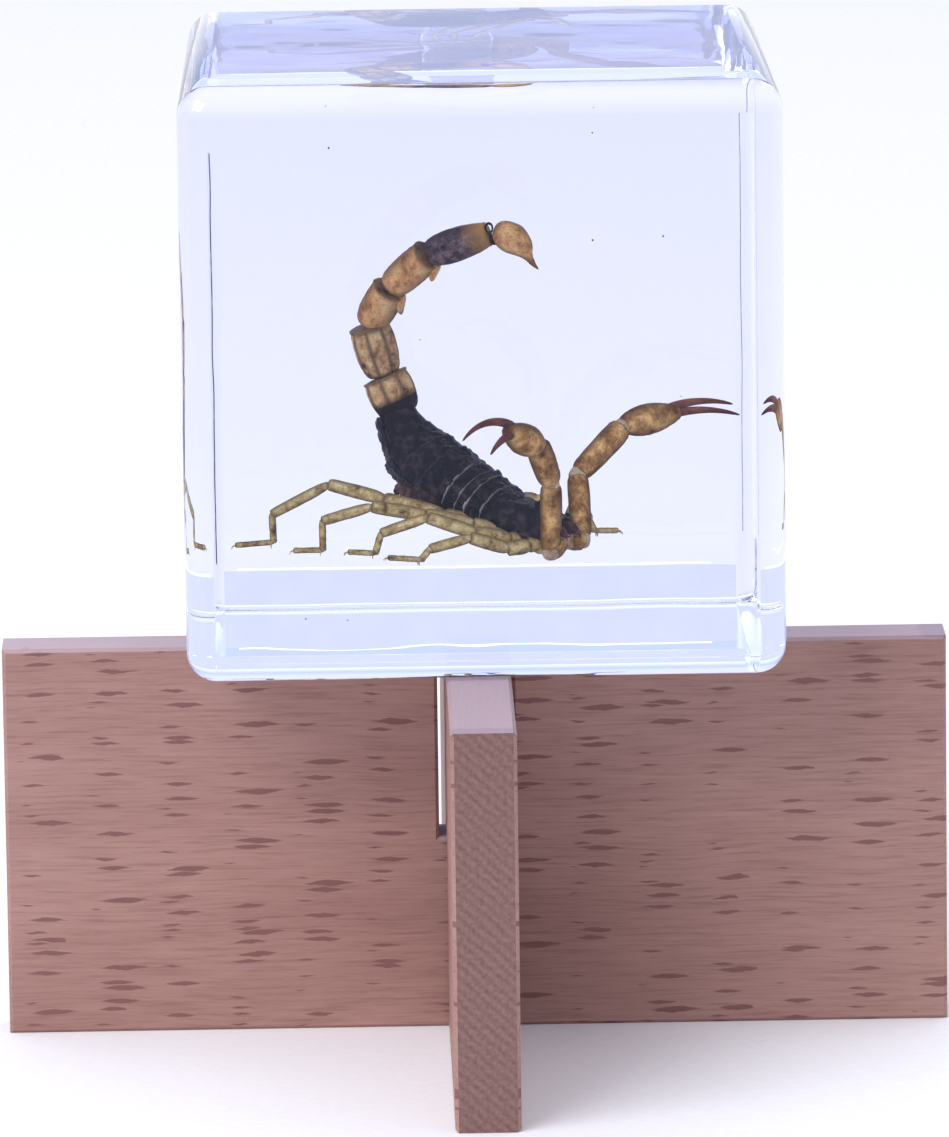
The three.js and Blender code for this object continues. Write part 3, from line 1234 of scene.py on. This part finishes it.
arm(
    "near",
    ((7.9, -5.4, 11.3), (6.8, -6.9, 10.2), (6.9, -7.8, 17.4), (5.5, -11.1, 21.9)),
    ((5.8, -11.0, 21.4), (2.3, -15.5, 23.9)),
    (("finger_fixed", (3.2, -14.6, 24.0), (-2.1, -18.6, 23.1), 80),
     ("finger_movable", (3.0, -14.9, 23.3), (0.7, -19.5, 21.8), 34)),
)
arm(
    "far",
    ((8.6, -4.2, 11.1), (10.0, -3.2, 11.0), (9.7, 0.0, 17.3), (14.4, 3.1, 21.8)),
    ((14.1, 3.1, 21.9), (20.4, 4.8, 23.1)),
    (("finger_fixed", (18.6, 4.5, 23.3), (25.7, 6.0, 23.6), 40),
     ("finger_movable", (18.8, 4.5, 22.7), (26.4, 6.0, 22.5), 34)),
)
print("arms: two, with two fingers each")

# %% [markdown]
# ## Tail
#
# Five ring-like segments and the sting. Each segment is narrow where it slips into the one before
# and flares into a dark rim at its rear end. The first two have strong dark keels with golden panels
# between them, the next two are smooth, and the last is smoky and tapers. On the last three, two
# dark keels on the inner and outer side of the curl paint shade along the outline. The hollow side
# of the curl is the animal's back.

# %% The tail's segments
keeled_ring = limb_pattern(
    "pattern_tail_keeled", first=(0.6, 0.6), pinch=0.92, keels=8, rim=0.1, sides=20,
    sharpness=2.5, spread=0.1,
    steps=[(0.05, 0.74, 0.74, 0), (0.1, 0.88, 0.88, 0), (0.25, 0.99, 0.99, 0),
           (0.3, 1.02, 1.02, 0), (0.18, 0.96, 0.96, 0), (0.04, 0.92, 0.92, 0),
           (0.04, 1.0, 1.0, 0), (0.02, 0.94, 0.94, 0), (0.02, 0.7, 0.7, 0)],
)
smooth_ring = limb_pattern(
    "pattern_tail_smooth", first=(0.6, 0.6), pinch=0.97, rim=0.1, sides=20,
    steps=[(0.05, 0.76, 0.76, 0), (0.1, 0.9, 0.9, 0), (0.25, 1.0, 1.0, 0),
           (0.3, 1.02, 1.0, 0), (0.18, 0.96, 0.95, 0), (0.05, 0.92, 0.92, 0),
           (0.03, 0.99, 0.98, 0), (0.02, 0.92, 0.92, 0), (0.02, 0.7, 0.7, 0)],
)
tapered_ring = limb_pattern(
    "pattern_tail_tapered", first=(0.62, 0.62), pinch=0.95, rim=0.03, sides=20,
    steps=[(0.05, 0.82, 0.82, 0), (0.15, 0.98, 0.98, 0), (0.22, 1.03, 1.03, 0),
           (0.25, 0.96, 0.96, 0), (0.2, 0.82, 0.82, 0), (0.07, 0.72, 0.72, 0),
           (0.03, 0.78, 0.78, 0), (0.03, 0.5, 0.5, 0)],
)
TAIL_JOINTS = (
    (-8.0, 7.6, 22.9), (-9.7, 7.8, 26.9), (-11.2, 7.2, 32.2), (-9.0, 5.3, 36.2),
    (-5.1, 2.6, 39.9), (1.1, 0.6, 42.1),
)
TAIL_PARTS = (
    (keeled_ring, tail_root, 5.3, 5.2), (keeled_ring, tail_tan, 4.8, 4.7),
    (smooth_ring, tail_gold, 3.9, 3.9), (smooth_ring, tail_gold, 3.7, 3.7),
    (tapered_ring, tail_dark, 3.6, 3.6),
)
CURL_MIDDLE = Vector((0.0, 5.0, 31.0))
joint_pairs = zip(TAIL_JOINTS, TAIL_JOINTS[1:])
for number, ((start, end), part) in enumerate(zip(joint_pairs, TAIL_PARTS), 1):
    ring, material, wide, deep = part
    inward = CURL_MIDDLE - (Vector(start) + Vector(end)) / 2
    segment = between(ring, f"tail_segment_{number}", start, end, wide, deep, inward)
    finish(roughen(segment, granules, 0.14), material, smooth=50)
print("tail segments:", len(TAIL_PARTS))

# %% [markdown]
# On the third and fourth segments a flap of the hollow side has dried away from the ring and
# hangs from its rear rim. It is a flat, grown lobe that leans back along the segment.

# %% Dried flaps on the tail
for number in (3, 4):
    start, end = Vector(TAIL_JOINTS[number - 1]), Vector(TAIL_JOINTS[number])
    axis = (end - start).normalized()
    inward = CURL_MIDDLE - end
    inward = (inward - axis * inward.dot(axis)).normalized()
    lobe = grow(
        f"tail_flap_{number}", 12, (1.2, 0.5),
        [(0.4, 2.0, 0.9, 0), (0.8, 2.3, 1.0, 4), (0.8, 1.9, 0.8, 6), (0.6, 0.9, 0.3, 8)],
    )
    soften(lobe, rim=0.3)
    stand(lobe, end + inward * 1.25 + axis * 0.3, inward * 0.3 - axis, inward)
    finish(roughen(lobe, wrinkles, 0.3), tail_gold, smooth=60)

# %% [markdown]
# ## The sting
#
# The telson is a bulb that is flat on its hollow side, and ends in a short curved needle. A dark
# neck joins it to the last segment, and beside the neck the joint leaves a small open ring.

# %% Telson, neck and joint ring
telson = grow(
    "telson", 14, (1.0, 0.9),
    [(0.35, 1.9, 1.9, 14), (0.6, 2.7, 2.7, -4), (0.8, 3.0, 3.0, -8), (0.9, 2.8, 2.7, -6),
     (0.8, 2.2, 2.1, -8), (0.55, 1.5, 1.35, -8), (0.5, 0.75, 0.7, -8), (0.6, 0.5, 0.48, 6),
     (0.5, 0.36, 0.34, 8), (0.3, 0.12, 0.12, 4)],
)
soften(telson, keels=2, rim=0.5, sharpness=1.2, spread=0.2)
stand(telson, (1.5, 0.6, 42.55), (0.83, -0.08, -0.56), (0.56, 0, 0.83), (1.12, 1.12, 1.07))
finish(roughen(telson, wrinkles, 0.2), tail_gold, smooth=60)

neck = between(joint_pattern, "telson_neck", (0.6, 0.6, 41.6), (2.2, 0.6, 41.3), 1.3, 1.3, UP)
finish(roughen(neck, wrinkles, 0.3), membrane, smooth=70)


def ring(name, place, facing, wide, high, thickness, material, slot):
    """A small closed ring, wide by high, that faces a direction."""
    item = begin(
        name, bpy.ops.mesh.primitive_torus_add, major_segments=28, minor_segments=8,
        major_radius=0.5, minor_radius=thickness / (wide + high),
    )
    mark_ridges(item)
    stand(item, place, facing, UP, (wide, high, (wide + high) / 2))
    finish(roughen(item, granules, 0.06), material, smooth=70)


ring("telson_joint_ring", (1.05, 0.1, 42.7), (0.35, -1.0, 0.2), 0.75, 0.95, 0.24, membrane,
     DARK_SLOT)
ring("wrist_joint_ring", (5.35, -12.5, 21.3), TOWARDS_VIEWER, 0.6, 0.6, 0.22, pale_skin,
     TAN_SLOT)

# %% Specks in the resin
SPECKS = {  # place in mm from the cube's foot, and size
    1: (-15.0, 0.0, 51.0, 0.2), 2: (11.6, 2.0, 52.0, 0.16), 3: (11.4, -4.0, 41.6, 0.22),
    4: (18.6, 0.0, 41.5, 0.2), 5: (-18.0, -20.0, 5.4, 0.18), 6: (-13.8, -20.0, 5.2, 0.16),
    7: (-6.0, 12.0, 30.0, 0.14), 8: (20.5, 10.0, 24.0, 0.13),
}
for number, (x, y, z, size) in SPECKS.items():
    speck = stand(twin(joint_pattern, f"dust_speck_{number}"), (x, y, z), UP, (1, 0, 0), (size,) * 3)
    finish(roughen(speck, granules, 0.08), membrane, smooth=70)

for pattern in (long_section, thin_section, claw_pattern, joint_pattern, arm_section,
                hand_pattern, keeled_ring, smooth_ring, tapered_ring):
    bpy.data.objects.remove(pattern)
print("sting, rings and specks made")

# %% [markdown]
# ## The stage
#
# A pale floor of white card, which painted shade turns grey towards the front, where the cube's
# polished front face would mirror it, and a soft surround that is brighter from behind than from the
# front. The scorpion is lit through the resin, and light bent by the resin can only find large
# lights, so the surround does most of the work. One soft light from the upper left shapes the
# boards.

# %% The floor
FLOOR_SIZE = 8.0
FLOOR_PAINTED_SHADE_FROM, FLOOR_PAINTED_SHADE_TO = -0.12, -0.3  # places along Y between which painted shade turns it grey

floor = begin(
    "floor", bpy.ops.mesh.primitive_plane_add, (FLOOR_SIZE, FLOOR_SIZE, 1), size=1
)
card, tree, shader = new_material("floor_white_card_painted_shade")
place = add(tree, "TexCoord", {}, "Object")
fibres = add(tree, "TexNoise", {"Scale": 900.0, "Detail": 3.0, "Vector": place}, "Fac")
forward = add(tree, "SeparateXYZ", {"Vector": place}, "Y")
shade = add(
    tree, "MapRange",
    {"From Min": FLOOR_PAINTED_SHADE_TO, "From Max": FLOOR_PAINTED_SHADE_FROM, "Value": forward}, "Result",
)
# Painted shade: the floor is grey towards the front and white behind.
colour = add(
    tree, "Mix",
    {"data_type": "RGBA", "blend_type": "MULTIPLY", 0: 1.0,
     MIX_A: ramp(tree, shade, [(0.0, "#aab1c6"), (1.0, "#ffffff")]),
     MIX_B: ramp(tree, fibres, [(0.3, "#fbfbff"), (0.7, "#ffffff")])}, MIX_RESULT,
)
fill(shader, {"Base Color": colour, "Roughness": 0.9, "Specular IOR Level": 0.2})
floor.data.materials.append(card)

# %% The light
world = bpy.data.worlds.new("studio")
bpy.context.scene.world = world
world.use_nodes = True
tree = world.node_tree
way = add(tree, "SeparateXYZ", {"Vector": add(tree, "TexCoord", {}, "Generated")})
sky = ramp(
    tree, way.outputs["Z"],
    [(0.0, "#f2f4ff"), (0.1, "#d8e0ff"), (0.19, "#b9c5ff"), (0.32, "#d2dcff"), (0.6, "#f0f1fa"),
     (1.0, "#fbfbff")],
)
from_behind = add(
    tree, "MapRange",
    {"From Min": -1.0, "From Max": 1.0, "To Min": 0.6, "To Max": 1.45, "Value": way.outputs["Y"]},
    "Result",
)
aside = add(
    tree, "Math", {"operation": "MULTIPLY", 0: way.outputs["X"], 1: way.outputs["X"]}, "Value"
)
dimmed = add(
    tree, "MapRange",
    {"From Min": 0.0, "From Max": 1.0, "To Min": 1.05, "To Max": 0.72, "Value": aside}, "Result",
)
strength = add(tree, "Math", {"operation": "MULTIPLY", 0: from_behind, 1: dimmed}, "Value")
fill(tree.nodes["Background"], {"Color": sky, "Strength": strength})

softbox_data = bpy.data.lights.new("softbox", "AREA")
softbox_data.shape = "SQUARE"
softbox_data.size = 0.7
softbox_data.energy = 7.0
softbox_data.color = linear("#fbfbff")[:3]
softbox = bpy.data.objects.new("softbox", softbox_data)
softbox.location = (-0.55, -0.6, 0.8)
aim_at = Vector((0, 0, 0.05)) - softbox.location
softbox.rotation_euler = aim_at.to_track_quat("-Z", "Y").to_euler()
bpy.context.scene.collection.objects.link(softbox)
bpy.context.scene.view_settings.view_transform = "Standard"
